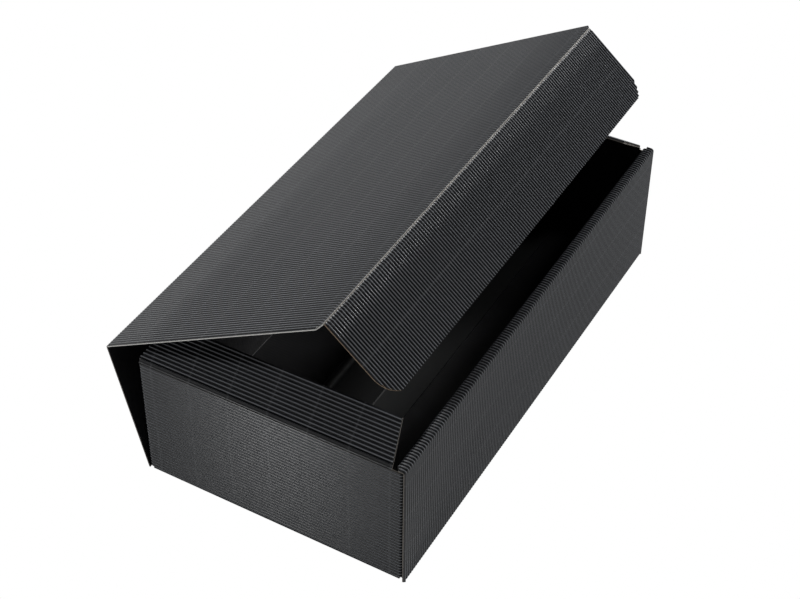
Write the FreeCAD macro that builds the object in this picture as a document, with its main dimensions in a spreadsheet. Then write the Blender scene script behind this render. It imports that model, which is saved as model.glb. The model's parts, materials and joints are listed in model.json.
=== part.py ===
import FreeCAD, Part
import math
import os
import re

V = FreeCAD.Vector

# Driving sizes, in millimetres and degrees. Each one becomes a cell of the sheet.
# The board is single-face: a smooth liner inside, open flutes outside.
# The panels are laid out from the outer near bottom front corner, and each finished
# sub-part is then moved so that the origin is the middle of the face it stands on.
SIZES = {
    "BoxLength": 360.0,
    "BoxWidth": 190.0,
    "BoxHeight": 96.0,
    "LidRise": 4.0,
    "LidShort": 2.3,
    "LinerThickness": 0.5,
    "FluteHeight": 1.4,
    "FlutePitch": 2.4,
    "FloorCrest": 0.9,
    "CrushedBoard": 0.5,
    "FoldInner": 0.3,
    "FoldGap": 0.3,
    "CreaseWidth": 2.0,
    "SlipGap": 0.3,
    "BandWidth": 7.5,
    "FrontTabLength": 60.0,
    "BackTabLength": 55.0,
    "TabTaper": 8.0,
    "TabRelief": 1.5,
    "EndWallDrop": 4.0,
    "CreaseGap": 3.0,
    "FlapDepth": 26.5,
    "FlapFrontInset": 10.0,
    "FlapFrontSlant": 4.5,
    "FlapBackSlant": 11.5,
    "LidRest": 0.4,
    "BackLean": 13.5,
    "LidTurn": 75.1,
    "TuckTurn": 69.2,
    "TuckDepth": 59.0,
    "TuckInsetNear": 5.0,
    "TuckInsetFar": 4.0,
    "TuckCornerRadius": 20.0,
    "TuckCornerDepth": 17.3,
    "DividerHeight": 60.0,
    "DividerGap": 5.0,
    "DividerFoot": 24.0,
    "DividerBoard": 1.2,
    "DividerEndGap": 1.5,
}


def worked_out(size):
    """Sizes that follow from the driving ones: board, folds, pivots and where the lid rests."""
    more = {}
    more["Board"] = size["LinerThickness"] + size["FluteHeight"]
    more["FoldAxis"] = more["Board"] + size["FoldInner"]
    # A hinged panel turns about the middle of its crushed crease
    more["PivotDepth"] = more["Board"] - size["CrushedBoard"] / 2
    more["PivotGap"] = size["CrushedBoard"] / 2 + size["FoldGap"]
    more["BackReach"] = size["BoxHeight"] + size["LidRise"] - 2 * more["PivotDepth"]
    more["LidReach"] = size["BoxWidth"] - size["BandWidth"] - size["LidShort"] - 2 * more["PivotDepth"]
    more["TuckReach"] = size["TuckDepth"] - more["PivotDepth"]
    # Directions of the three hinged panels, turned about +X from +Y
    more["BackAngle"] = 90.0 - size["BackLean"]
    more["LidAngle"] = more["BackAngle"] + size["LidTurn"]
    more["TuckAngle"] = more["LidAngle"] + size["TuckTurn"]
    more["BackPivotY"] = size["BoxWidth"] - more["PivotDepth"]
    more["BackPivotZ"] = more["PivotDepth"]
    more["LidPivotY"] = more["BackPivotY"] + more["BackReach"] * cosd(more["BackAngle"])
    more["LidPivotZ"] = more["BackPivotZ"] + more["BackReach"] * sind(more["BackAngle"])
    more["TuckPivotY"] = more["LidPivotY"] + more["LidReach"] * cosd(more["LidAngle"])
    more["TuckPivotZ"] = more["LidPivotZ"] + more["LidReach"] * sind(more["LidAngle"])
    # The end walls stand between the front wall's two plies and the back wall
    more["EndStart"] = more["Board"] + size["SlipGap"] + more["FoldAxis"]
    more["EndStop"] = size["BoxWidth"] - more["Board"] - size["SlipGap"] - more["FoldAxis"]
    more["EndTop"] = size["BoxHeight"] - size["EndWallDrop"]
    more["TabHeight"] = more["EndTop"] - more["FoldAxis"] - 2 * size["TabRelief"]
    more["FlapLean"] = flap_lean(size, more)
    return more


def sind(angle):
    return math.sin(math.radians(angle))


def cosd(angle):
    return math.cos(math.radians(angle))


def flap_tip_height(size, more, lean):
    """Height of an end flap's outer free edge when the flap leans in by this angle."""
    crease = size["CreaseGap"] * cosd(lean / 2)
    flap = size["FlapDepth"] * cosd(lean) + more["FoldAxis"] * sind(lean)
    return more["EndTop"] + crease + flap


def flap_lean(size, more):
    """The raised end flaps spring up until their back corners meet the lid's underside."""
    corner = size["BoxWidth"] - more["Board"] - size["SlipGap"] - size["FlapBackSlant"]
    slope = math.tan(math.radians(180.0 - more["LidAngle"]))
    inner = size["CrushedBoard"] / 2 + size["LidRest"]
    under = more["LidPivotZ"] + (more["LidPivotY"] - corner) * slope
    under -= inner / cosd(180.0 - more["LidAngle"])
    low, high = 10.0, 90.0
    for _ in range(40):
        middle = (low + high) / 2
        if flap_tip_height(size, more, middle) > under:
            low = middle
        else:
            high = middle
    return high


doc = FreeCAD.newDocument("bottle_box")
sheet = doc.addObject("Spreadsheet::Sheet", "Sizes")
size = dict(SIZES)
size.update(worked_out(SIZES))
for row, (alias, value) in enumerate(size.items(), start=1):
    sheet.set("A%d" % row, alias)
    sheet.set("B%d" % row, repr(value))
    sheet.setAlias("B%d" % row, alias)
doc.recompute()


# Helpers

def cell(formula):
    """A formula on plain size names, such as BoxLength / 2, as an expression on the sheet."""
    return re.sub(r"[A-Z][A-Za-z]+", lambda found: "Sizes." + found.group(), formula)


def value(formula):
    """The number that a formula on size names gives now."""
    total = sheet.evalExpression(cell(formula))
    return float(getattr(total, "Value", total))


def bind(item, **formulas):
    for name, formula in formulas.items():
        item.setExpression(name, cell(formula))


def place(item, where, across=V(1, 0, 0), up=V(0, 0, 1)):
    """Set an object's axes (its local X and Z) and bind its position to three formulas."""
    rotation = FreeCAD.Rotation(across, up.cross(across), up, "ZXY")
    item.Placement = FreeCAD.Placement(V(0, 0, 0), rotation)
    for axis, formula in zip("xyz", where):
        item.setExpression("Placement.Base." + axis, cell(formula))
    return item


def body_plane(body, role):
    for feature in body.Origin.OriginFeatures:
        if feature.Role == role:
            return feature
    raise ValueError("no plane " + role)


def sketch_on(body, role, name):
    sketch = body.newObject("Sketcher::SketchObject", name)
    sketch.AttachmentSupport = [(body_plane(body, role), "")]
    sketch.MapMode = "FlatFace"
    return sketch


def draw_loop(sketch, points):
    for start, end in zip(points, points[1:] + points[:1]):
        sketch.addGeometry(Part.LineSegment(V(*start, 0), V(*end, 0)), False)


def board_section(across, crest):
    """Section across the flutes: crests at 0, one of them mid-panel, liner's smooth face at Board."""
    count = 2 * max(0, round(across / size["FlutePitch"] / 2 - 0.5)) + 1
    pitch = across / count
    outline = [(across, size["Board"]), (0.0, size["Board"]), (0.0, size["FluteHeight"])]
    for index in range(count):
        middle = (index + 0.5) * pitch
        if crest > 0:
            outline += [(middle - crest / 2, 0.0), (middle + crest / 2, 0.0)]
        else:
            outline.append((middle, 0.0))
        outline.append(((index + 1) * pitch, size["FluteHeight"]))
    return outline


def fluted_panel(name, across, along, crest=0.0):
    """A flat panel of fluted board: local X across the flutes, local Y along them."""
    body = doc.addObject("PartDesign::Body", name)
    section = sketch_on(body, "XZ_Plane", name + "_section")
    draw_loop(section, board_section(value(across), crest))
    pad = body.newObject("PartDesign::Pad", name + "_run")
    pad.Profile = section
    pad.Reversed = True
    bind(pad, Length=along)
    doc.recompute()
    return body


def trim(body, name, outline):
    """Cut the area inside an outline on the panel's plane right through the board."""
    before = body.Shape.Volume
    sketch = sketch_on(body, "XY_Plane", name)
    outline(sketch)
    pocket = body.newObject("PartDesign::Pocket", name + "_cut")
    pocket.Profile = sketch
    pocket.Type = "ThroughAll"
    pocket.Midplane = True
    doc.recompute()
    if body.Shape.Volume >= before:
        raise ValueError(name + " cuts nothing")
    return body


def fold(name, length, angle, where, start, axis, thick="Board"):
    """The board round a fold: a ring sector about the fold's inner axis."""
    rings = []
    for part, radius in (("outer", "FoldInner + " + thick), ("inner", "FoldInner")):
        ring = doc.addObject("Part::Cylinder", name + "_" + part)
        bind(ring, Radius=radius, Height=length, Angle=angle)
        rings.append(place(ring, where, start, axis))
    sector = doc.addObject("Part::Cut", name)
    sector.Base, sector.Tool = rings
    return sector


def strip(name, where, wide, deep, thick):
    box = doc.addObject("Part::Box", name)
    bind(box, Length=wide, Width=deep, Height=thick)
    return place(box, where)


def fuse(name, shapes):
    joined = doc.addObject("Part::MultiFuse", name)
    joined.Shapes = shapes
    return joined


# Floor, with flat flute crests that it stands on, and the crease where the back wall starts

floor = place(
    fluted_panel(
        "floor",
        "BoxLength - 2 * FoldAxis",
        "BackPivotY - CreaseWidth - FoldAxis",
        size["FloorCrest"],
    ),
    ("FoldAxis", "FoldAxis", "0"),
)
floor_crease = strip(
    "floor_crease",
    ("FoldAxis", "BackPivotY - CreaseWidth", "Board - CrushedBoard"),
    "BoxLength - 2 * FoldAxis",
    "CreaseWidth - PivotGap",
    "CrushedBoard",
)


# Front wall, rolled over: outer ply, flat band on top, inner ply down to the floor

outer_ply = place(
    fluted_panel("outer_ply", "BoxLength", "BoxHeight - 2 * FoldAxis"),
    ("0", "0", "BoxHeight - FoldAxis"),
    V(1, 0, 0),
    V(0, 1, 0),
)
band = place(
    fluted_panel("band", "BoxLength", "BandWidth - 2 * FoldAxis"),
    ("0", "BandWidth - FoldAxis", "BoxHeight"),
    V(1, 0, 0),
    V(0, 0, -1),
)
inner_ply = place(
    fluted_panel(
        "inner_ply",
        "BoxLength - 2 * Board - 2 * SlipGap",
        "BoxHeight - FoldAxis - Board - SlipGap",
    ),
    ("Board + SlipGap", "BandWidth", "Board + SlipGap"),
    V(1, 0, 0),
    V(0, -1, 0),
)
floor_fold = fold(
    "floor_fold",
    "BoxLength - 2 * FoldAxis",
    "90",
    ("FoldAxis", "FoldAxis", "FoldAxis"),
    V(0, -1, 0),
    V(1, 0, 0),
)
band_fold = fold(
    "band_fold",
    "BoxLength",
    "90",
    ("0", "FoldAxis", "BoxHeight - FoldAxis"),
    V(0, 0, 1),
    V(1, 0, 0),
)
inner_fold = fold(
    "inner_fold",
    "BoxLength - 2 * Board - 2 * SlipGap",
    "90",
    ("Board + SlipGap", "BandWidth - FoldAxis", "BoxHeight - FoldAxis"),
    V(0, 1, 0),
    V(1, 0, 0),
)


# Near end: wall, front tab between the plies, back tab, and the raised flap on its double crease

end_wall = place(
    fluted_panel("end_wall", "EndTop - FoldAxis", "EndStop - EndStart"),
    ("0", "EndStart", "EndTop"),
    V(0, 0, -1),
    V(1, 0, 0),
)
end_fold = fold(
    "end_fold",
    "EndStop - EndStart",
    "90",
    ("FoldAxis", "EndStart", "FoldAxis"),
    V(0, 0, -1),
    V(0, 1, 0),
)


def tab_taper(length):
    """Both free corners of a tab are cut at a slant."""

    def outline(sketch):
        tall = size["TabHeight"]
        long = size[length] - size["FoldAxis"]
        slant = size["TabTaper"]
        draw_loop(sketch, [(0.0, long - 2 * slant), (slant, long), (0.0, long)])
        draw_loop(sketch, [(tall, long - 2 * slant), (tall - slant, long), (tall, long)])

    return outline


front_tab = place(
    trim(
        fluted_panel("front_tab", "TabHeight", "FrontTabLength - FoldAxis"),
        "front_tab_taper",
        tab_taper("FrontTabLength"),
    ),
    ("FoldAxis", "EndStart - FoldAxis", "FoldAxis + TabRelief"),
    V(0, 0, 1),
    V(0, 1, 0),
)
back_tab = place(
    trim(
        fluted_panel("back_tab", "TabHeight", "BackTabLength - FoldAxis"),
        "back_tab_taper",
        tab_taper("BackTabLength"),
    ),
    ("FoldAxis", "EndStop + FoldAxis", "EndTop - TabRelief"),
    V(0, 0, -1),
    V(0, -1, 0),
)
front_tab_fold = fold(
    "front_tab_fold",
    "TabHeight",
    "90",
    ("FoldAxis", "EndStart", "FoldAxis + TabRelief"),
    V(-1, 0, 0),
    V(0, 0, 1),
)
back_tab_fold = fold(
    "back_tab_fold",
    "TabHeight",
    "90",
    ("FoldAxis", "EndStop", "FoldAxis + TabRelief"),
    V(0, 1, 0),
    V(0, 0, 1),
)

half = size["FlapLean"] / 2
crease_length = "EndStop - FlapFrontInset"
flap_fold_low = fold(
    "flap_fold_low",
    crease_length,
    "FlapLean / 2",
    ("FoldAxis", "FlapFrontInset", "EndTop"),
    V(-1, 0, 0),
    V(0, 1, 0),
    "CrushedBoard",
)
flap_crease = place(
    strip("flap_crease", ("0", "0", "0"), "CrushedBoard", crease_length, "CreaseGap"),
    (
        "FoldAxis - ( FoldInner + CrushedBoard ) * cos( FlapLean / 2 )",
        "FlapFrontInset",
        "EndTop + ( FoldInner + CrushedBoard ) * sin( FlapLean / 2 )",
    ),
    V(cosd(half), 0, -sind(half)),
    V(sind(half), 0, cosd(half)),
)
flap_fold_high = fold(
    "flap_fold_high",
    crease_length,
    "FlapLean / 2",
    (
        "FoldAxis + CreaseGap * sin( FlapLean / 2 )",
        "FlapFrontInset",
        "EndTop + CreaseGap * cos( FlapLean / 2 )",
    ),
    V(-cosd(half), 0, sind(half)),
    V(0, 1, 0),
    "CrushedBoard",
)


def flap_outline(sketch):
    """Slanted front and back sides, the back one cut away further."""
    deep = size["FlapDepth"]
    long = value("EndStop + FoldAxis - FlapFrontInset")
    front = size["FlapFrontSlant"]
    back = size["FlapBackSlant"]
    draw_loop(sketch, [(0.0, 0.0), (0.0, front), (deep, 0.0)])
    draw_loop(sketch, [(0.0, long), (0.0, long - back), (deep, long)])


lean = size["FlapLean"]
end_flap = place(
    trim(
        fluted_panel("end_flap", "FlapDepth", "EndStop + FoldAxis - FlapFrontInset"),
        "end_flap_sides",
        flap_outline,
    ),
    (
        "FoldAxis + CreaseGap * sin( FlapLean / 2 ) + FlapDepth * sin( FlapLean )"
        " - FoldAxis * cos( FlapLean )",
        "FlapFrontInset",
        "EndTop + CreaseGap * cos( FlapLean / 2 ) + FlapDepth * cos( FlapLean )"
        " + FoldAxis * sin( FlapLean )",
    ),
    V(-sind(lean), 0, -cosd(lean)),
    V(cosd(lean), 0, -sind(lean)),
)

near_end = fuse(
    "near_end",
    [end_wall, end_fold, front_tab, back_tab, front_tab_fold, back_tab_fold]
    + [flap_fold_low, flap_crease, flap_fold_high, end_flap],
)
far_end = doc.addObject("Part::Mirroring", "far_end")
far_end.Source = near_end
far_end.Normal = V(1, 0, 0)
far_end.setExpression("Base.x", cell("BoxLength / 2"))

tray = fuse(
    "tray",
    [floor, floor_crease, floor_fold, outer_ply, band_fold, band, inner_fold, inner_ply, near_end, far_end],
)
bind(tray, **{"Placement.Base.x": "-BoxLength / 2", "Placement.Base.y": "-BoxWidth / 2"})


# Back wall, lid and tuck flap: one hinged panel after the other, each turning on a rounded crease

def hinged_panel(name, reach, start, stop, pivot, angle, carries=True, cuts=None):
    """Local Y runs from the panel's own pivot towards the next one, flutes on the underside."""
    wide = "(" + stop + ") - (" + start + ")"
    last = "CreaseWidth" if carries else "0"
    middle = "-CrushedBoard / 2"
    pieces = []
    board = fluted_panel(name + "_board", wide, reach + " - CreaseWidth - " + last)
    if cuts:
        trim(board, name + "_corners", cuts)
    pieces.append(place(board, (start, "CreaseWidth", "-PivotDepth")))
    pieces.append(strip(name + "_crease", (start, "0", middle), wide, "CreaseWidth", "CrushedBoard"))
    bead = doc.addObject("Part::Cylinder", name + "_bead")
    bind(bead, Radius="CrushedBoard / 2", Height=wide)
    pieces.append(place(bead, (start, "0", "0"), V(0, 1, 0), V(1, 0, 0)))
    if carries:
        pieces.append(
            strip(
                name + "_edge",
                (start, reach + " - CreaseWidth", middle),
                wide,
                "CreaseWidth - PivotGap",
                "CrushedBoard",
            )
        )
    whole = fuse(name, pieces)
    whole.Placement = FreeCAD.Placement(V(0, 0, 0), FreeCAD.Rotation(V(1, 0, 0), size[angle]))
    bind(
        whole,
        **{
            "Placement.Base.x": "-BoxLength / 2",
            "Placement.Base.y": pivot + "Y - BoxWidth / 2",
            "Placement.Base.z": pivot + "Z",
        },
    )
    return whole


def tuck_corners(sketch):
    """Rounded free corners: an arc that leaves the side edge and meets the free edge."""
    wide = value("BoxLength - TuckInsetNear - TuckInsetFar")
    deep = value("TuckReach - CreaseWidth")
    radius = size["TuckCornerRadius"]
    drop = size["TuckCornerDepth"]
    inset = radius - math.sqrt(radius ** 2 - drop ** 2)
    halfway = math.asin(drop / radius) / 2
    for side, sign in ((0.0, 1.0), (wide, -1.0)):
        start = V(side, deep - drop, 0)
        across = sign * radius * (1 - math.cos(halfway))
        middle = V(side + across, deep - drop + radius * math.sin(halfway), 0)
        end = V(side + sign * inset, deep, 0)
        corner = V(side, deep, 0)
        sketch.addGeometry(Part.Arc(start, middle, end), False)
        sketch.addGeometry(Part.LineSegment(end, corner), False)
        sketch.addGeometry(Part.LineSegment(corner, start), False)


def lid_corners(sketch):
    """The lid's front corners are nipped in to the narrower tuck flap."""
    wide = size["BoxLength"]
    deep = value("LidReach - 2 * CreaseWidth")
    nip = size["CreaseWidth"]
    for side, inset in ((0.0, size["TuckInsetNear"]), (wide, -size["TuckInsetFar"])):
        draw_loop(sketch, [(side, deep - nip), (side + inset, deep), (side, deep)])


back_wall = hinged_panel("back_wall", "BackReach", "0", "BoxLength", "BackPivot", "BackAngle")
lid = hinged_panel("lid", "LidReach", "0", "BoxLength", "LidPivot", "LidAngle", cuts=lid_corners)
tuck_flap = hinged_panel(
    "tuck_flap",
    "TuckReach",
    "TuckInsetNear",
    "BoxLength - TuckInsetFar",
    "TuckPivot",
    "TuckAngle",
    carries=False,
    cuts=tuck_corners,
)


# Divider between the two bottles: one strip folded up the middle, with a foot on each side

def divider_section(sketch):
    """Half-round crest on two upright sides, each ending in a foot on the floor."""
    thick = size["DividerBoard"]
    outer = size["DividerGap"] / 2 + thick
    inner = size["DividerGap"] / 2
    foot = outer + size["DividerFoot"]
    springing = size["DividerHeight"] - outer
    for radius in (outer, inner):
        ends = V(-radius, springing, 0), V(radius, springing, 0)
        sketch.addGeometry(Part.Arc(ends[0], V(0, springing + radius, 0), ends[1]), False)
    side = [(outer, springing), (outer, thick), (foot, thick), (foot, 0.0), (inner, 0.0), (inner, springing)]
    for sign in (-1.0, 1.0):
        for start, end in zip(side, side[1:]):
            line = Part.LineSegment(V(sign * start[0], start[1], 0), V(sign * end[0], end[1], 0))
            sketch.addGeometry(line, False)


divider = doc.addObject("PartDesign::Body", "divider")
divider_profile = sketch_on(divider, "XY_Plane", "divider_profile")
divider_section(divider_profile)
divider_run = divider.newObject("PartDesign::Pad", "divider_run")
divider_run.Profile = divider_profile
bind(divider_run, Length="BoxLength - 2 * Board - 2 * DividerEndGap")
place(
    divider,
    ("Board + DividerEndGap - BoxLength / 2", "0", "Board + SlipGap"),
    V(0, 1, 0),
    V(1, 0, 0),
)


# Check every object, then write one file for each sub-part

doc.recompute()
for item in doc.Objects:
    if "Invalid" in item.State or "Error" in item.State:
        raise ValueError(item.Label + " did not build: " + ", ".join(item.State))

os.makedirs("parts", exist_ok=True)
for node in (tray, back_wall, lid, tuck_flap, divider):
    shape = node.Shape
    if shape.isNull() or not shape.isValid() or len(shape.Solids) != 1:
        raise ValueError(node.Label + " is not one valid solid")
    shape.exportStep("parts/%s.step" % node.Label)
    box = shape.BoundBox
    print(
        "%-10s %8.1f mm3  x %.1f..%.1f  y %.1f..%.1f  z %.1f..%.1f"
        % (node.Label, shape.Volume, box.XMin, box.XMax, box.YMin, box.YMax, box.ZMin, box.ZMax)
    )
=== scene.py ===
"""Shipping box for bottles, folded from one sheet of black open-flute board, with its lid ajar."""

import json
import math

import bpy
from mathutils import Matrix, Vector


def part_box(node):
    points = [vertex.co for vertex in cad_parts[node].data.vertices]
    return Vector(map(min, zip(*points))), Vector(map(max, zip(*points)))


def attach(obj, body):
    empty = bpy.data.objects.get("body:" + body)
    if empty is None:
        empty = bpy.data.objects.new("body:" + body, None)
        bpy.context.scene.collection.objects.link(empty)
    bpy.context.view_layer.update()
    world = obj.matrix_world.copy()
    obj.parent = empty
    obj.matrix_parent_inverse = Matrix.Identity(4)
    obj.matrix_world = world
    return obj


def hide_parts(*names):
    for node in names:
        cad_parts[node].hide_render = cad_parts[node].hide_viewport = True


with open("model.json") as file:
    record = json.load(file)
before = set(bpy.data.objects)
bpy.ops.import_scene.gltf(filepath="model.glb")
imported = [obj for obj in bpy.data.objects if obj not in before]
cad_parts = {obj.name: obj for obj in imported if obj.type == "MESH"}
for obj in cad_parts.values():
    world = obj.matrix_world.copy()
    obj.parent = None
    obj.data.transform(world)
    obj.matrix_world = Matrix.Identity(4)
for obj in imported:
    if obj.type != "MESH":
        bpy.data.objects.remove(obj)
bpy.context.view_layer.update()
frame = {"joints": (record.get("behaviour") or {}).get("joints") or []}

bl_info = {
    "name": "Folded Bottle Box",
    "version": (1, 0, 0),
    "blender": (4, 5, 0),
    "location": "View3D > Sidebar > Bottle Box",
    "description": "Folds a bottle shipping box from open-flute board",
    "category": "Add Mesh",
}

MM = 0.001


def pivot(joint_name):
    """Where a fold's axis crosses the middle of the box, from the frame."""
    for joint in frame["joints"]:
        if joint["name"] == joint_name:
            return Vector(joint["pos_m"])
    raise ValueError(joint_name)


BACK_PIVOT = pivot("back_fold")
LID_PIVOT = pivot("lid_fold")
TUCK_PIVOT = pivot("tuck_fold")
# How far the sheets stay inside the box at each end
END_INSET = 0.05 * MM
HALF_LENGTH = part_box("tray")[1].x - END_INSET
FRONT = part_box("tray")[0].y


# Settings


class BoxSizes(bpy.types.PropertyGroup):
    """Sizes of the board and its folds, in metres"""

    pitch: bpy.props.FloatProperty(
        name="Flute pitch", description="Crest to crest along the box", default=2.353 * MM, unit="LENGTH"
    )
    end_pitch: bpy.props.FloatProperty(
        name="End pitch", description="Crest to crest up the end walls", default=2.49 * MM, unit="LENGTH"
    )
    board: bpy.props.FloatProperty(
        name="Board", description="Liner and flutes together", default=1.9 * MM, unit="LENGTH"
    )
    liner: bpy.props.FloatProperty(
        name="Liner", description="Thickness of the smooth liner", default=0.5 * MM, unit="LENGTH"
    )
    paper: bpy.props.FloatProperty(
        name="Flute paper", description="Thickness of the fluted paper", default=0.22 * MM, unit="LENGTH"
    )
    crushed: bpy.props.FloatProperty(
        name="Crushed board", description="Thickness left at a crease", default=0.5 * MM, unit="LENGTH"
    )
    fold_inner: bpy.props.FloatProperty(
        name="Fold radius", description="Inner radius of a fold", default=0.3 * MM, unit="LENGTH"
    )
    taper: bpy.props.FloatProperty(
        name="Taper",
        description="Length over which a flute dies out at a fold",
        default=1.5 * MM,
        unit="LENGTH",
    )
    height: bpy.props.FloatProperty(
        name="Height", description="Height of the front wall", default=96.0 * MM, unit="LENGTH"
    )
    band: bpy.props.FloatProperty(
        name="Band", description="Width of the front wall's top", default=7.5 * MM, unit="LENGTH"
    )
    end_drop: bpy.props.FloatProperty(
        name="End wall drop",
        description="End wall's crease below the front's top",
        default=4.0 * MM,
        unit="LENGTH",
    )
    slip: bpy.props.FloatProperty(
        name="Slip gap", description="Gap between two plies that slide", default=0.3 * MM, unit="LENGTH"
    )


class BoxColours(bpy.types.PropertyGroup):
    """Colours of the papers, as hex values in sRGB"""

    flute: bpy.props.StringProperty(name="Flutes", description="Fluted paper", default="17181b")
    # Painted highlight: a pale colour mixed onto the top of every flute
    crest: bpy.props.StringProperty(name="Crests", description="Rubbed flute crests", default="82858a")
    liner: bpy.props.StringProperty(name="Liner", description="Smooth liner", default="1c1c1e")
    edge_grey: bpy.props.StringProperty(name="Grey edge", description="Cut edges", default="77726c")
    # Painted highlight: the lid's cut edges, near white against the grey edges of the same sheet
    edge_white: bpy.props.StringProperty(name="White edge", description="Lid's near edges", default="f4f3ef")
    edge_kraft: bpy.props.StringProperty(name="Kraft edge", description="Tuck flap's edges", default="a08c76")
    card: bpy.props.StringProperty(name="Divider", description="Divider's card", default="101112")
    floor: bpy.props.StringProperty(name="Floor", description="Studio floor", default="fbfbfb")


def sizes():
    return bpy.context.scene.box_sizes


def colours():
    return bpy.context.scene.box_colours


# Materials


def linear(hex_colour):
    """An sRGB hex colour as linear RGBA."""
    channels = [int(hex_colour[i : i + 2], 16) / 255 for i in (0, 2, 4)]
    return [c / 12.92 if c <= 0.04045 else ((c + 0.055) / 1.055) ** 2.4 for c in channels] + [1.0]


def node(tree, kind, settings=None, **links):
    """Add one shader node, set its values and link its inputs from other nodes' sockets."""
    made = tree.nodes.new(kind)
    for key, setting in (settings or {}).items():
        if isinstance(key, int) or key in made.inputs:
            made.inputs[key].default_value = setting
        else:
            setattr(made, key, setting)
    for key, socket in links.items():
        tree.links.new(socket, made.inputs[key.replace("_", " ")])
    return made


# Lines that the fluting roll's fingers leave across the flutes
PRESS_LINE_SPACING = 28 * MM
PRESS_LINE_WIDTH = 0.9 * MM
PRESS_LINE_COLOUR = "9a9c9f"
PRESS_LINE_SHARE = 0.28

# Paper: clouds in the dye, fibre fleck, and a fine tooth that breaks up the sheen
CLOUD_SIZE = 25 * MM
CLOUD_DETAIL = 3.0
FIBRE_DETAIL = 4.0
FIBRE_ROUGHNESS = 0.6
FIBRE_SHARE = 0.6
DARKEST_AT = 0.55
LIGHTEST_AT = 1.05
TOOTH_DEPTH = 0.02 * MM
TOOTH_STRENGTH = 0.5
PAPER_IOR = 1.5

# Calendered by the fluting roll, so glossier than the liner; each crest carries a painted highlight
FLUTE_GLOSS = 0.3
CREST_SHARPNESS = 9.0


def paper_material(name, colour, roughness, turn=0.0, lines=0.0, fibre_mm=0.35, mottle=0.22):
    """Through-dyed paper: fibre fleck, cloudy dye; on fluted paper, painted crest highlights and press lines.

    turn is the panel's angle about X, so that the lines run across its flutes.
    """
    material = bpy.data.materials.new(name)
    material.use_nodes = True
    tree = material.node_tree
    tree.nodes.clear()
    place = node(tree, "ShaderNodeTexCoord")
    flat = node(
        tree,
        "ShaderNodeMapping",
        {"Rotation": (math.radians(-turn), 0, 0)},
        Vector=place.outputs["Object"],
    )
    fleck = node(
        tree,
        "ShaderNodeTexNoise",
        {"Scale": 1 / (fibre_mm * MM), "Detail": FIBRE_DETAIL, "Roughness": FIBRE_ROUGHNESS},
        Vector=flat.outputs[0],
    )
    cloud = node(
        tree,
        "ShaderNodeTexNoise",
        {"Scale": 1 / CLOUD_SIZE, "Detail": CLOUD_DETAIL},
        Vector=flat.outputs[0],
    )
    both = node(tree, "ShaderNodeMath", {"operation": "MULTIPLY_ADD", 1: FIBRE_SHARE})
    tree.links.new(fleck.outputs["Fac"], both.inputs[0])
    tree.links.new(cloud.outputs["Fac"], both.inputs[2])
    dark = [c * (1 - mottle) for c in linear(colour)[:3]] + [1.0]
    light = [min(1.0, c * (1 + mottle)) for c in linear(colour)[:3]] + [1.0]
    ramp = node(tree, "ShaderNodeValToRGB", {}, Fac=both.outputs[0])
    ramp.color_ramp.elements[0].position = DARKEST_AT
    ramp.color_ramp.elements[0].color = dark
    ramp.color_ramp.elements[1].position = LIGHTEST_AT
    ramp.color_ramp.elements[1].color = light
    surface = ramp.outputs["Color"]
    if lines:
        height = node(tree, "ShaderNodeAttribute", {"attribute_name": "crest"})
        sharp = node(tree, "ShaderNodeMath", {"operation": "POWER", 1: CREST_SHARPNESS})
        tree.links.new(height.outputs["Fac"], sharp.inputs[0])
        # Painted highlight: the crest colour is mixed in towards each flute's top
        crest_highlight = node(tree, "ShaderNodeMix", {"data_type": "RGBA"})
        tree.links.new(sharp.outputs[0], crest_highlight.inputs[0])
        tree.links.new(surface, crest_highlight.inputs[6])
        crest_highlight.inputs[7].default_value = linear(colours().crest)
        surface = crest_highlight.outputs[2]
        along = node(tree, "ShaderNodeSeparateXYZ", {}, Vector=flat.outputs[0])
        period = node(tree, "ShaderNodeMath", {"operation": "PINGPONG", 1: PRESS_LINE_SPACING / 2})
        tree.links.new(along.outputs["Y"], period.inputs[0])
        near = node(tree, "ShaderNodeMapRange", {"From Max": PRESS_LINE_WIDTH, "To Min": 1.0, "To Max": 0.0})
        tree.links.new(period.outputs[0], near.inputs["Value"])
        broken = node(tree, "ShaderNodeMath", {"operation": "MULTIPLY"})
        tree.links.new(near.outputs[0], broken.inputs[0])
        tree.links.new(fleck.outputs["Fac"], broken.inputs[1])
        share = node(tree, "ShaderNodeMath", {"operation": "MULTIPLY", 1: lines})
        tree.links.new(broken.outputs[0], share.inputs[0])
        rubbed = node(tree, "ShaderNodeMix", {"data_type": "RGBA"})
        tree.links.new(share.outputs[0], rubbed.inputs[0])
        tree.links.new(surface, rubbed.inputs[6])
        rubbed.inputs[7].default_value = linear(PRESS_LINE_COLOUR)
        surface = rubbed.outputs[2]
    tooth = node(
        tree,
        "ShaderNodeBump",
        {"Strength": TOOTH_STRENGTH, "Distance": TOOTH_DEPTH},
        Height=fleck.outputs["Fac"],
    )
    shader = node(
        tree,
        "ShaderNodeBsdfPrincipled",
        {"Roughness": roughness, "IOR": PAPER_IOR},
        Base_Color=surface,
        Normal=tooth.outputs["Normal"],
    )
    node(tree, "ShaderNodeOutputMaterial", {}, Surface=shader.outputs["BSDF"])
    return material


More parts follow.
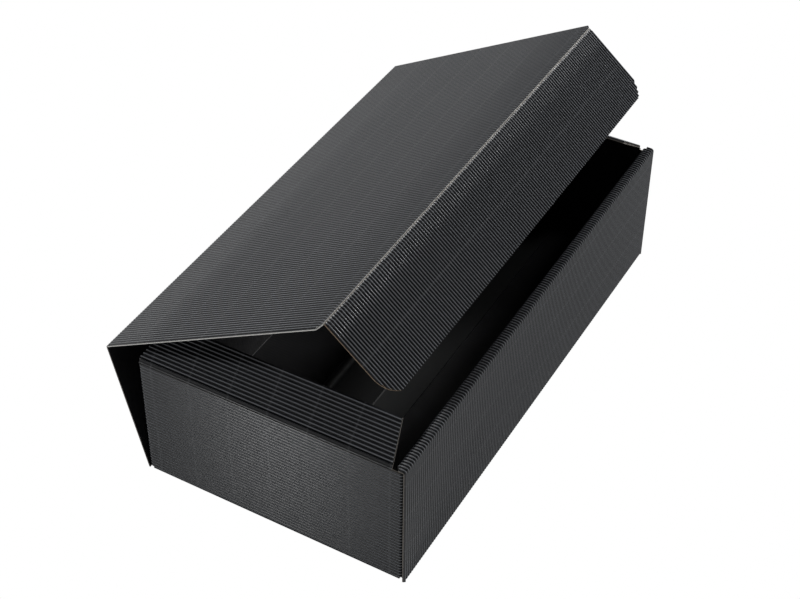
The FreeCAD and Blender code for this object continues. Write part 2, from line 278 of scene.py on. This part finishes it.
def make_materials():
    """Each paper of the box, and the colours that its cut edges show."""
    paint = colours()
    made = {
        # Machine-finished liner: even, near black, with a low sheen
        "liner": paper_material("dyed_kraft_liner", paint.liner, 0.42, mottle=0.3),
        # Die-cut edges: torn fibre, so matt and paler than the faces
        "edge_grey": paper_material("cut_edge_grey", paint.edge_grey, 0.8),
        # The lid's cut edges are painted near white: a painted highlight on the grey cut edge
        "edge_white": paper_material("cut_edge_white", paint.edge_white, 0.8, mottle=0.04),
        "edge_kraft": paper_material("cut_edge_kraft", paint.edge_kraft, 0.8, fibre_mm=0.8, mottle=0.4),
        # Uncoated card: the darkest and most matt of the faces
        "card": paper_material("dyed_card", paint.card, 0.6),
    }
    for name, turn in (
        ("floor", 0.0),
        ("front", 90.0),
        ("back", direction(BACK_PIVOT, LID_PIVOT)),
        ("lid", direction(LID_PIVOT, TUCK_PIVOT)),
        ("tuck", direction(LID_PIVOT, TUCK_PIVOT) + TUCK_TURN),
    ):
        made["flute_" + name] = paper_material(
            "dyed_flute_" + name, paint.flute, FLUTE_GLOSS, turn, PRESS_LINE_SHARE
        )
    return made


MATERIALS = {}


# Modelling by hand


def deselect_all():
    """Leave edit mode and select nothing."""
    if bpy.context.mode != "OBJECT":
        bpy.ops.object.mode_set(mode="OBJECT")
    bpy.ops.object.select_all(action="DESELECT")


def trace(name, points, heights=()):
    """A line of vertices through the points, all selected, in edit mode.

    heights are the flute's, 0 to 1, and stay with the mesh as its crest attribute.
    """
    deselect_all()
    bpy.ops.mesh.primitive_plane_add(size=MM, location=(0, 0, 0))
    piece = bpy.context.active_object
    piece.name = name
    piece.data.name = name
    bpy.ops.object.mode_set(mode="EDIT")
    bpy.ops.mesh.select_mode(type="VERT")
    bpy.ops.mesh.select_all(action="SELECT")
    bpy.ops.mesh.merge(type="CENTER")
    bpy.ops.transform.translate(value=points[0])
    for before, after in zip(points, points[1:]):
        bpy.ops.mesh.extrude_vertices_move(TRANSFORM_OT_translate={"value": Vector(after) - Vector(before)})
    if heights:
        bpy.ops.object.mode_set(mode="OBJECT")
        crest = piece.data.attributes.new("crest", "FLOAT", "POINT")
        for index, height in enumerate(heights):
            crest.data[index].value = height
        bpy.ops.object.mode_set(mode="EDIT")
    bpy.ops.mesh.select_all(action="SELECT")
    return piece


def extrude(step):
    """Take the selected row on by one step."""
    bpy.ops.mesh.extrude_region_move(TRANSFORM_OT_translate={"value": step})


def flatten(axis, plane, factor):
    """Scale the selected row of flutes towards a plane, or back from it."""
    value = [1.0, 1.0, 1.0]
    centre = [0.0, 0.0, 0.0]
    value["XYZ".index(axis)] = factor
    centre["XYZ".index(axis)] = plane
    bpy.ops.transform.resize(value=value, center_override=centre)


def spin(degrees, centre, steps=5):
    """Take the selected row round a fold that runs along X."""
    bpy.ops.mesh.spin(steps=steps, angle=-math.radians(degrees), center=centre, axis=(1, 0, 0))


def spin_up(degrees, centre, steps=5):
    """Take the selected row round an upright fold."""
    bpy.ops.mesh.spin(steps=steps, angle=-math.radians(degrees), center=centre, axis=(0, 0, 1))


def repeat(piece, count, step):
    """Copy the selected flute side by side and weld the copies."""
    bpy.ops.object.mode_set(mode="OBJECT")
    array = piece.modifiers.new("flutes", "ARRAY")
    array.use_relative_offset = False
    array.use_constant_offset = True
    array.constant_offset_displace = step
    array.count = count
    array.use_merge_vertices = True
    array.merge_threshold = WELD
    bpy.ops.object.modifier_apply(modifier="flutes")
    return piece


WELD = 0.01 * MM


def cut_away(piece, cuts):
    """Cut off all that lies outside each plane."""
    for point, normal in cuts:
        bpy.ops.object.mode_set(mode="EDIT")
        bpy.ops.mesh.select_all(action="SELECT")
        bpy.ops.mesh.bisect(plane_co=point, plane_no=normal, clear_outer=True)
        bpy.ops.object.mode_set(mode="OBJECT")
    return piece


def join(name, pieces, weld=False):
    """Make the pieces one mesh, with its faces turned outwards and, if asked, its doubles merged."""
    deselect_all()
    for piece in pieces:
        piece.select_set(True)
    bpy.context.view_layer.objects.active = pieces[0]
    if len(pieces) > 1:
        bpy.ops.object.join()
    joined = bpy.context.active_object
    joined.name = name
    joined.data.name = name
    bpy.ops.object.mode_set(mode="EDIT")
    bpy.ops.mesh.select_all(action="SELECT")
    if weld:
        bpy.ops.mesh.remove_doubles(threshold=WELD)
    bpy.ops.mesh.normals_make_consistent(inside=False)
    bpy.ops.object.mode_set(mode="OBJECT")
    return joined


def thicken(piece, thickness, surface, edge):
    """Give a sheet its paper's thickness and the colour of its cut edges."""
    bpy.context.view_layer.objects.active = piece
    piece.data.materials.append(MATERIALS[surface])
    piece.data.materials.append(MATERIALS[edge])
    wall = piece.modifiers.new("paper", "SOLIDIFY")
    wall.thickness = thickness
    wall.offset = 0.0
    wall.use_even_offset = False
    wall.material_offset_rim = 1
    bpy.ops.object.modifier_apply(modifier="paper")
    return piece


def finish(name, pieces):
    """Join a panel's fluted paper and liner, and shade them smooth between their sharp edges."""
    panel = join(name, pieces)
    bpy.ops.object.shade_smooth_by_angle(angle=math.radians(SMOOTH_ANGLE))
    return panel


SMOOTH_ANGLE = 40


def wave(steps):
    """Heights of one flute from valley to valley, 0 to 1."""
    return [0.5 - 0.5 * math.cos(2 * math.pi * i / steps) for i in range(steps + 1)]


def turn(piece, degrees, where):
    """Turn a finished panel about X through a pivot and leave its place in its mesh."""
    deselect_all()
    piece.select_set(True)
    bpy.context.view_layer.objects.active = piece
    piece.location = where
    piece.rotation_euler = (math.radians(degrees), 0, 0)
    bpy.ops.object.transform_apply(location=True, rotation=True, scale=True)
    return piece


def settle(piece, body, slot, *nodes):
    """Put a finished piece on its body, in place of the CAD nodes it stands for; slot is not used."""
    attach(piece, body)
    if nodes:
        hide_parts(*nodes)


FLUTE_STEPS = 12
LINER_STEPS = 4
LINER_SAG = 0.06 * MM


def levels():
    """Depths below the outer face: liner's middle, flute valley's middle, crest's middle."""
    s = sizes()
    return s.board - s.liner / 2, s.board - s.liner - s.paper / 2, s.paper / 2


def fold_axis():
    """How far a round fold's axis lies inside the outer face."""
    s = sizes()
    return s.board + s.fold_inner


def running_gap():
    """How far a panel stops short of the axis of the fold that ends it."""
    return sizes().crushed / 2 + FOLD_GAP


FOLD_GAP = 0.3 * MM


def flute_row(start, pitch, fluted):
    """One flute's section, or the liner's below it, as pairs of place across and depth."""
    liner_mid, valley, crest = levels()
    if fluted:
        return [
            (start + pitch * i / FLUTE_STEPS, valley - (valley - crest) * h)
            for i, h in enumerate(wave(FLUTE_STEPS))
        ]
    return [
        (start + pitch * i / LINER_STEPS, liner_mid - LINER_SAG * h)
        for i, h in enumerate(wave(LINER_STEPS))
    ]


# Floor and front wall: flutes run along the path, from the floor up the front and down its inner ply


def long_flutes():
    """How many flutes the full length has, and their true pitch."""
    count = 2 * round(HALF_LENGTH / sizes().pitch - 0.5) + 1
    return count, 2 * HALF_LENGTH / count


def taken_along(name, inset, fluted, start, path):
    """One flute taken along a path and repeated across the box, less inset flutes at each end.

    With no inset, only the first and the last flute are made.
    """
    count, pitch = long_flutes()
    copies = 1 if inset is None else count - 2 * inset
    left = -HALF_LENGTH + pitch * (inset or 0)
    row = [(x,) + start(depth) for x, depth in flute_row(left, pitch, fluted)]
    piece = trace(name, row, wave(FLUTE_STEPS) if fluted else ())
    path()
    if inset is None:
        copies, pitch = 2, 2 * HALF_LENGTH - pitch
    return repeat(piece, copies, (pitch, 0, 0))


def make_floor():
    """The floor panel and its fold up to the front wall."""
    s = sizes()
    axis = fold_axis()
    back = BACK_PIVOT.y - running_gap()
    front = FRONT + axis
    sheets = []
    for fluted, thickness, key in ((True, s.paper, "flute_floor"), (False, s.liner, "liner")):

        def path():
            extrude((0, front - back + s.taper, 0))
            extrude((0, -s.taper, 0))
            if fluted:
                flatten("Z", s.paper / 2, FOLD_STRETCH)
            spin(-90, (0, front, axis))
            if fluted:
                flatten("Y", FRONT + s.paper / 2, 1 / FOLD_STRETCH)

        sheet = taken_along("floor_" + key, 1, fluted, lambda depth: (back, depth), path)
        sheets.append(thicken(join(sheet.name, [sheet], True), thickness, key, "edge_grey"))
    return finish("floor_panel", sheets)


# Depth that is left to the flutes where their paper is stretched round the front bottom fold
FOLD_STRETCH = 0.15
FOOT_CLEARANCE = 0.3 * MM


def make_front_wall():
    """The outer ply, the flat band on top, and the inner ply, with the two end flutes down to the floor."""
    s = sizes()
    axis = fold_axis()
    top = s.height - axis
    front = FRONT + axis
    inner = FRONT + s.band - axis
    sheets = []
    for fluted, thickness, key in ((True, s.paper, "flute_front"), (False, s.liner, "liner")):

        def outer():
            extrude((0, 0, top - axis))
            spin(-90, (0, front, top))
            extrude((0, inner - front, 0))

        def heel():
            extrude((0, 0, axis - FOOT_CLEARANCE))

        def back_ply():
            spin(-90, (0, inner, top))
            extrude((0, 0, s.board + s.slip - top))

        parts = [
            taken_along("outer_" + key, 0, fluted, lambda depth: (FRONT + depth, axis), outer),
            taken_along("heel_" + key, None, fluted, lambda depth: (FRONT + depth, FOOT_CLEARANCE), heel),
            taken_along("inner_" + key, 1, fluted, lambda depth: (inner, s.height - depth), back_ply),
        ]
        sheets.append(thicken(join("front_" + key, parts, True), thickness, key, "edge_grey"))
    return finish("front_wall", sheets)


# Hinged panels


def make_hinged(name, start_x, stop_x, reach, degrees, where, carries, edge, cuts=()):
    """A panel that starts on its own crease and ends on the next one or on a free edge.

    name is the panel's CAD node and its body. carries is true where another panel hangs on its end.
    """
    s = sizes()
    valley = levels()[1]
    depth = s.board - s.crushed / 2
    plane = valley - depth
    count = flute_count(stop_x - start_x)
    pitch = (stop_x - start_x) / count
    crease = s.taper + CREASE_FLAT
    tail = reach - (running_gap() if carries else 0.0)
    end = tail - (crease if carries else 0.0)
    fluted_key = "flute_" + name.split("_")[0]
    sheets = []
    for fluted, thickness, key in ((True, s.paper, fluted_key), (False, s.liner, "liner")):
        row = [(x, 0.0, d - depth) for x, d in flute_row(start_x, pitch, fluted)]
        if fluted:
            row = [(x, y, plane + (z - plane) * CREASE_SHARE) for x, y, z in row]
        piece = trace(name + "_" + key, row, wave(FLUTE_STEPS) if fluted else ())
        extrude((0, CREASE_FLAT, 0))
        extrude((0, s.taper, 0))
        if fluted:
            flatten("Z", plane, 1 / CREASE_SHARE)
        for _ in range(PANEL_STEPS):
            extrude((0, (end - crease) / PANEL_STEPS, 0))
        if carries:
            extrude((0, s.taper, 0))
            if fluted:
                flatten("Z", plane, CREASE_SHARE)
            extrude((0, CREASE_FLAT, 0))
        repeat(piece, count, (pitch, 0, 0))
        cut_away(piece, cuts)
        sheets.append(thicken(join(piece.name, [piece], True), thickness, key, edge))
    # Painted highlight: the bead on the lid's fold to the tuck flap takes the pale grey edge colour, the
    # others the liner's
    sheets.append(crease_bead(name, start_x, stop_x, "edge_grey" if name == "tuck_flap" else "liner"))
    panel = finish(name + "_panel", sheets)
    turn(panel, degrees, where)
    settle(panel, name, "black_board", name)
    return panel


def crease_bead(name, start_x, stop_x, surface):
    """The crushed board of the crease, round on the fold's axis, so that it closes the fold at any angle."""
    deselect_all()
    bpy.ops.mesh.primitive_cylinder_add(
        vertices=BEAD_SIDES,
        radius=BEAD_RADIUS,
        depth=stop_x - start_x,
        location=((start_x + stop_x) / 2, 0, 0),
        rotation=(0, math.radians(90), 0),
    )
    bead = bpy.context.active_object
    bpy.ops.object.transform_apply(location=True, rotation=True, scale=True)
    bead.name = name + "_bead"
    bead.data.name = bead.name
    bead.data.materials.append(MATERIALS[surface])
    return bead


PANEL_STEPS = 4
CREASE_FLAT = 0.4 * MM
# Share of the flute's height left at a crease
CREASE_SHARE = 0.12
BEAD_RADIUS = 0.48 * MM
BEAD_SIDES = 16


def flute_count(width):
    """The whole number of flutes nearest to the board's pitch."""
    return max(1, round(width / sizes().pitch))


def direction(start, end):
    """Degrees from +Y, turning about +X, of the line from one fold to the next."""
    return math.degrees(math.atan2(end.z - start.z, end.y - start.y))


TUCK_TURN = 69.2
TUCK_REACH = 57.35 * MM
TUCK_NEAR = 5.0 * MM
TUCK_FAR = 4.0 * MM
CORNER_RADIUS = 20.0 * MM
CORNER_DROP = 17.3 * MM
CORNER_CUTS = 7
CORNER_FIRST_CUT = 5
CORNER_NEXT_CUT = 9
NIP = 2.6 * MM


def rounded_corners(start_x, stop_x, reach):
    """Cuts round the two free corners of the tuck flap, tangent to an arc."""
    cuts = []
    for side, sign in ((start_x, 1.0), (stop_x, -1.0)):
        centre = Vector((side + sign * CORNER_RADIUS, reach - CORNER_DROP, 0))
        for step in range(CORNER_CUTS):
            angle = math.radians(CORNER_FIRST_CUT + step * CORNER_NEXT_CUT)
            normal = Vector((-sign * math.cos(angle), math.sin(angle), 0))
            cuts.append((centre + normal * CORNER_RADIUS, normal))
    return cuts


def nipped_corners(reach):
    """Slanting cuts from the lid's side edges in to the narrower tuck flap."""
    cuts = []
    for side, inset, sign in ((-HALF_LENGTH, TUCK_NEAR, 1.0), (HALF_LENGTH, TUCK_FAR, -1.0)):
        normal = Vector((-sign * NIP, inset, 0)).normalized()
        cuts.append((Vector((side, reach - NIP, 0)), normal))
    return cuts


# End walls


def make_end_wall(side):
    """One run of flutes along Y: front tab, end wall and back tab, with round folds between them."""
    s = sizes()
    axis = fold_axis()
    sign = 1.0 if side == "near" else -1.0
    top = s.height - s.end_drop
    rows = round((top - axis) / s.end_pitch)
    pitch = (top - axis) / rows
    start_y = FRONT + s.board + s.slip + axis
    turn_x = -HALF_LENGTH + axis
    sheets = []
    for fluted, thickness, key in ((True, s.paper, "flute_floor"), (False, s.liner, "liner")):

        def run(name, first, copies, front_tab, back_tab):
            row = [
                (sign * (turn_x + front_tab), start_y - axis + depth, axis + z)
                for z, depth in flute_row(first * pitch, pitch, fluted)
            ]
            piece = trace(name + key, row, wave(FLUTE_STEPS) if fluted else ())
            if front_tab:
                extrude((-sign * front_tab, 0, 0))
            spin_up(-90 * sign, (sign * turn_x, start_y, 0))
            extrude((0, -2 * start_y, 0))
            spin_up(-90 * sign, (sign * turn_x, -start_y, 0))
            if back_tab:
                extrude((sign * back_tab, 0, 0))
            return repeat(piece, copies, (0, 0, pitch))

        parts = [
            run("low_", 0, 1, 0.0, 0.0),
            run("middle_", 1, rows - 2, FRONT_TAB - axis, BACK_TAB - axis),
            run("high_", rows - 1, 1, 0.0, 0.0),
        ]
        sheets.append(thicken(join(side + "_" + key, parts, True), thickness, key, "edge_grey"))
    return finish("end_wall_" + side, sheets)


FRONT_TAB = 60.0 * MM
BACK_TAB = 55.0 * MM


def make_end_folds(side):
    """The end wall's fold on the floor, its double crease, and the raised flap, flutes along Y."""
    s = sizes()
    liner_mid, valley, crest = levels()
    axis = fold_axis()
    top = s.height - s.end_drop
    start_y = FRONT + s.board + s.slip + axis
    sign = -1.0 if side == "near" else 1.0
    lean = NEAR_LEAN if side == "near" else FAR_LEAN
    half = math.radians(lean / 2)
    full = math.radians(lean)
    base = Vector((-(HALF_LENGTH - axis), axis))
    low = Vector((-(HALF_LENGTH - axis), top))
    high = low + Vector((math.sin(half), math.cos(half))) * CREASE_GAP
    along = Vector((math.sin(full), math.cos(full)))
    out = Vector((-math.cos(full), math.sin(full)))
    flutes = round(FLAP_DEPTH / s.end_pitch)
    run = FLAP_DEPTH / flutes

    def radius(fluted, share):
        return axis - (valley - (valley - crest) * share if fluted else liner_mid)

    sheets = []
    for fluted, thickness, key in ((True, s.paper, "flute_floor"), (False, s.liner, "liner")):
        foot = []
        for step in range(FOOT_STEPS + 1):
            angle = math.radians(90 * step / FOOT_STEPS)
            share = FOLD_RIDGE * math.sin(math.pi * step / FOOT_STEPS)
            foot.append(base + Vector((-math.sin(angle), -math.cos(angle))) * radius(fluted, share))
        flap = []
        shares = CREASE_SHAPE if fluted else [0.0] * len(CREASE_SHAPE)
        last = len(shares) - 1
        for step, share in enumerate(shares):
            place = step / last
            if place <= CREASE_PART:
                centre = low
                angle = half * place / CREASE_PART
            elif place >= 1 - CREASE_PART:
                centre = high
                angle = half + half * (place - (1 - CREASE_PART)) / CREASE_PART
            else:
                centre = low.lerp(high, (place - CREASE_PART) / (1 - 2 * CREASE_PART))
                angle = half
            flap.append(centre + Vector((-math.cos(angle), math.sin(angle))) * radius(fluted, share))
        steps = FLUTE_STEPS if fluted else LINER_STEPS
        flap_heights = wave(steps)[1:] * flutes
        for index, height in enumerate(flap_heights, start=1):
            lift = radius(True, height) if fluted else radius(False, 0) + LINER_SAG * height
            flap.append(high + along * (run * index / steps) + out * lift)
        for part, points, heights, y0, y1 in (
            ("foot", foot, (), start_y, -start_y),
            ("flap", flap, list(shares) + flap_heights, FRONT + FLAP_FRONT, -start_y + axis),
        ):
            line = [(-sign * p.x, y0, p.y) for p in points]
            sheet = trace("%s_%s_%s" % (side, part, key), line, heights if fluted else ())
            for _ in range(FLAP_RUNS):
                extrude((0, (y1 - y0) / FLAP_RUNS, 0))
            bpy.ops.object.mode_set(mode="OBJECT")
            if part == "flap":
                across = Vector((-sign * along.x, 0, along.y))
                cuts = []
                for y, slant, way in ((y0, FLAP_FRONT_SLANT, -1.0), (y1, FLAP_BACK_SLANT, 1.0)):
                    normal = (across * slant / FLAP_DEPTH + Vector((0, way, 0))).normalized()
                    cuts.append((Vector((-sign * high.x, y, high.y)), normal))
                cut_away(sheet, cuts)
            sheets.append(thicken(join(sheet.name, [sheet], True), thickness, key, "edge_grey"))
    return finish("end_flap_" + side, sheets)


NEAR_LEAN = 46.0
FAR_LEAN = 54.0
CREASE_GAP = 3.0 * MM
FLAP_DEPTH = 26.5 * MM
FLAP_FRONT = 10.0 * MM
FLAP_FRONT_SLANT = 4.5 * MM
FLAP_BACK_SLANT = 11.5 * MM
FLAP_RUNS = 6
FOOT_STEPS = 8
# Share of the flute's height on the outside of the end wall's fold on the floor
FOLD_RIDGE = 0.75
# Share of the double crease that each of its two folds takes up
CREASE_PART = 0.3
# Share of the flute's height across the double crease: a ridge, the flattened board, a ridge
CREASE_SHAPE = [0.0, 0.5, 0.75, 0.45, 0.08, 0.02, 0.02, 0.12, 0.6, 0.8, 0.4, 0.0]


# Operators


class BOX_OT_front(bpy.types.Operator):
    """Fold the floor, the front wall, its flat band and its inner ply"""

    bl_idname = "box.front"
    bl_label = "Floor and Front Wall"

    def execute(self, context):
        floor = make_floor()
        settle(floor, "tray", "black_board", "tray")
        front = make_front_wall()
        settle(front, "tray", "black_board")
        return {"FINISHED"}


class BOX_OT_ends(bpy.types.Operator):
    """Fold both end walls and their raised flaps"""

    bl_idname = "box.ends"
    bl_label = "End Walls and Flaps"

    def execute(self, context):
        for side in ("near", "far"):
            settle(make_end_wall(side), "tray", "black_board")
            settle(make_end_folds(side), "tray", "black_board")
        return {"FINISHED"}


class BOX_OT_lid(bpy.types.Operator):
    """Make the back wall, the lid and the tuck flap, each on its own fold"""

    bl_idname = "box.lid"
    bl_label = "Back Wall, Lid and Tuck Flap"

    def execute(self, context):
        back_angle = direction(BACK_PIVOT, LID_PIVOT)
        lid_angle = direction(LID_PIVOT, TUCK_PIVOT)
        back_reach = (LID_PIVOT - BACK_PIVOT).length
        lid_reach = (TUCK_PIVOT - LID_PIVOT).length
        ends = (-HALF_LENGTH, HALF_LENGTH)
        tuck_ends = (-HALF_LENGTH + TUCK_NEAR, HALF_LENGTH - TUCK_FAR)
        nips = nipped_corners(lid_reach)
        arcs = rounded_corners(*tuck_ends, TUCK_REACH)
        tuck_angle = lid_angle + TUCK_TURN
        make_hinged("back_wall", *ends, back_reach, back_angle, BACK_PIVOT, True, "edge_grey")
        make_hinged("lid", *ends, lid_reach, lid_angle, LID_PIVOT, True, "edge_white", nips)
        make_hinged("tuck_flap", *tuck_ends, TUCK_REACH, tuck_angle, TUCK_PIVOT, False, "edge_kraft", arcs)
        return {"FINISHED"}


class BOX_OT_divider(bpy.types.Operator):
    """Fold the strip of card that stands between the bottles"""

    bl_idname = "box.divider"
    bl_label = "Divider"

    def execute(self, context):
        low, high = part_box("divider")
        bend = CARD_BEND
        top = high.z - CARD_THICKNESS / 2
        floor = low.z + CARD_THICKNESS / 2
        foot = high.y - CARD_THICKNESS / 2
        heel = bend + FOOT_BEND
        ankle = floor + FOOT_BEND
        section = [(-foot, floor), (-heel, floor), (-bend, ankle), (-bend, top - bend)]
        for step in range(1, BEND_STEPS):
            angle = math.radians(180 - 180 * step / BEND_STEPS)
            section.append((bend * math.cos(angle), top - bend + bend * math.sin(angle)))
        section += [(bend, top - bend), (bend, ankle), (heel, floor), (foot, floor)]
        sheet = trace("divider_strip", [(low.x, y, z) for y, z in section])
        for _ in range(CARD_RUNS):
            extrude(((high.x - low.x) / CARD_RUNS, 0, 0))
        bpy.ops.object.mode_set(mode="OBJECT")
        strip = thicken(join(sheet.name, [sheet]), CARD_THICKNESS, "card", "card")
        piece = finish("divider_strip", [strip])
        settle(piece, "tray", "black_card", "divider")
        return {"FINISHED"}


CARD_THICKNESS = 1.2 * MM
CARD_BEND = 3.1 * MM
FOOT_BEND = 1 * MM
BEND_STEPS = 8
CARD_RUNS = 8


class BOX_OT_stage(bpy.types.Operator):
    """Lay a pale floor, hang soft studio lights and set the camera"""

    bl_idname = "box.stage"
    bl_label = "Studio"

    def execute(self, context):
        make_stage()
        make_lights()
        make_camera()
        return {"FINISHED"}


# Studio


FLOOR_SIZE = 12.0


def seen_as_white(tree, plain, white, output):
    """The camera sees white, and the light on the box stays as the plain shader gives it."""
    rays = node(tree, "ShaderNodeLightPath")
    seen = node(tree, "ShaderNodeMixShader", {}, Fac=rays.outputs["Is Camera Ray"])
    tree.links.new(plain.outputs[0], seen.inputs[1])
    tree.links.new(white.outputs[0], seen.inputs[2])
    node(tree, output, {}, Surface=seen.outputs[0])


def make_stage():
    """A pale matt floor under the box."""
    deselect_all()
    bpy.ops.mesh.primitive_plane_add(size=FLOOR_SIZE, location=(0, 0, 0))
    ground = bpy.context.active_object
    ground.name = "studio_floor"
    material = bpy.data.materials.new("studio_floor")
    material.use_nodes = True
    tree = material.node_tree
    tree.nodes.clear()
    white = node(tree, "ShaderNodeEmission", {"Color": (1, 1, 1, 1), "Strength": 1.0})
    matt = node(tree, "ShaderNodeBsdfDiffuse", {"Color": linear(colours().floor)})
    seen_as_white(tree, matt, white, "ShaderNodeOutputMaterial")
    ground.data.materials.append(material)


LIGHT_AIM = Vector((0, 0, 0.08))
LIGHTS = (
    # name, place in metres, size in metres, power in watts
    ("front_top", (0.35, -1.0, 1.7), 0.25, 4.5),
    ("right_front", (1.1, -0.55, 0.72), 0.25, 11.5),
    ("back_sweep", (-0.2, 2.0, 0.9), 2.4, 17.0),
    ("left_back", (-1.1, 0.75, 1.6), 0.2, 5.5),
)
WORLD = 0.14


def make_lights():
    """A low even world, and soft round lamps that aim at the box."""
    world = bpy.data.worlds.new("studio")
    bpy.context.scene.world = world
    world.use_nodes = True
    tree = world.node_tree
    tree.nodes.clear()
    soft = node(tree, "ShaderNodeBackground", {"Color": (1, 1, 1, 1), "Strength": WORLD})
    white = node(tree, "ShaderNodeBackground", {"Color": (1, 1, 1, 1), "Strength": 1.0})
    seen_as_white(tree, soft, white, "ShaderNodeOutputWorld")
    for name, place, size, power in LIGHTS:
        data = bpy.data.lights.new(name, "AREA")
        data.shape = "DISK"
        data.size = size
        data.energy = power
        lamp = bpy.data.objects.new(name, data)
        lamp.location = place
        lamp.rotation_mode = "QUATERNION"
        lamp.rotation_quaternion = (LIGHT_AIM - Vector(place)).to_track_quat("-Z", "Y")
        bpy.context.scene.collection.objects.link(lamp)


PICTURE = (800, 599)
CAMERA_PLACE = Vector((-758.256, -410.316, 798.025)) * MM
CAMERA_YAW = 31.623
CAMERA_PITCH = -38.623
CAMERA_ROLL = -1.125
FOCAL_PX = 1686.221
CENTRE_PX = (340.0, 230.0)
SENSOR = 36.0


def make_camera():
    """The photograph's camera: focal length and picture centre in pixels of its own frame."""
    data = bpy.data.cameras.new("camera")
    data.sensor_fit = "HORIZONTAL"
    data.sensor_width = SENSOR
    data.lens = FOCAL_PX / PICTURE[0] * SENSOR
    data.shift_x = (PICTURE[0] / 2 - CENTRE_PX[0]) / PICTURE[0]
    data.shift_y = (CENTRE_PX[1] - PICTURE[1] / 2) / PICTURE[0]
    data.clip_start = 0.01
    data.clip_end = 100.0
    camera = bpy.data.objects.new("camera", data)
    yaw = math.radians(CAMERA_YAW)
    pitch = math.radians(CAMERA_PITCH)
    forward = Vector((math.cos(pitch) * math.cos(yaw), math.cos(pitch) * math.sin(yaw), math.sin(pitch)))
    right = forward.cross(Vector((0, 0, 1))).normalized()
    up = right.cross(forward)
    roll = math.radians(CAMERA_ROLL)
    tilted = right * math.cos(roll) + up * math.sin(roll)
    upright = tilted.cross(forward)
    turned = Matrix((tilted, upright, -forward)).transposed().to_4x4()
    camera.matrix_world = Matrix.Translation(CAMERA_PLACE) @ turned
    bpy.context.scene.collection.objects.link(camera)
    bpy.context.scene.camera = camera


class BOX_PT_panel(bpy.types.Panel):
    """Lists the box's pieces"""

    bl_idname = "BOX_PT_panel"
    bl_label = "Bottle Box"
    bl_space_type = "VIEW_3D"
    bl_region_type = "UI"
    bl_category = "Bottle Box"

    def draw(self, context):
        for operator in PIECES:
            self.layout.operator(operator.bl_idname)


PIECES = (BOX_OT_front, BOX_OT_ends, BOX_OT_lid, BOX_OT_divider, BOX_OT_stage)
CLASSES = (BoxSizes, BoxColours, BOX_PT_panel) + PIECES


def register():
    for cls in CLASSES:
        bpy.utils.register_class(cls)
    bpy.types.Scene.box_sizes = bpy.props.PointerProperty(type=BoxSizes)
    bpy.types.Scene.box_colours = bpy.props.PointerProperty(type=BoxColours)


def unregister():
    del bpy.types.Scene.box_colours
    del bpy.types.Scene.box_sizes
    for cls in reversed(CLASSES):
        bpy.utils.unregister_class(cls)


def main():
    register()
    bpy.context.scene.view_settings.view_transform = "Standard"
    MATERIALS.update(make_materials())
    bpy.ops.box.front()
    bpy.ops.box.ends()
    bpy.ops.box.lid()
    bpy.ops.box.divider()
    bpy.ops.box.stage()


if __name__ == "__main__":
    main()
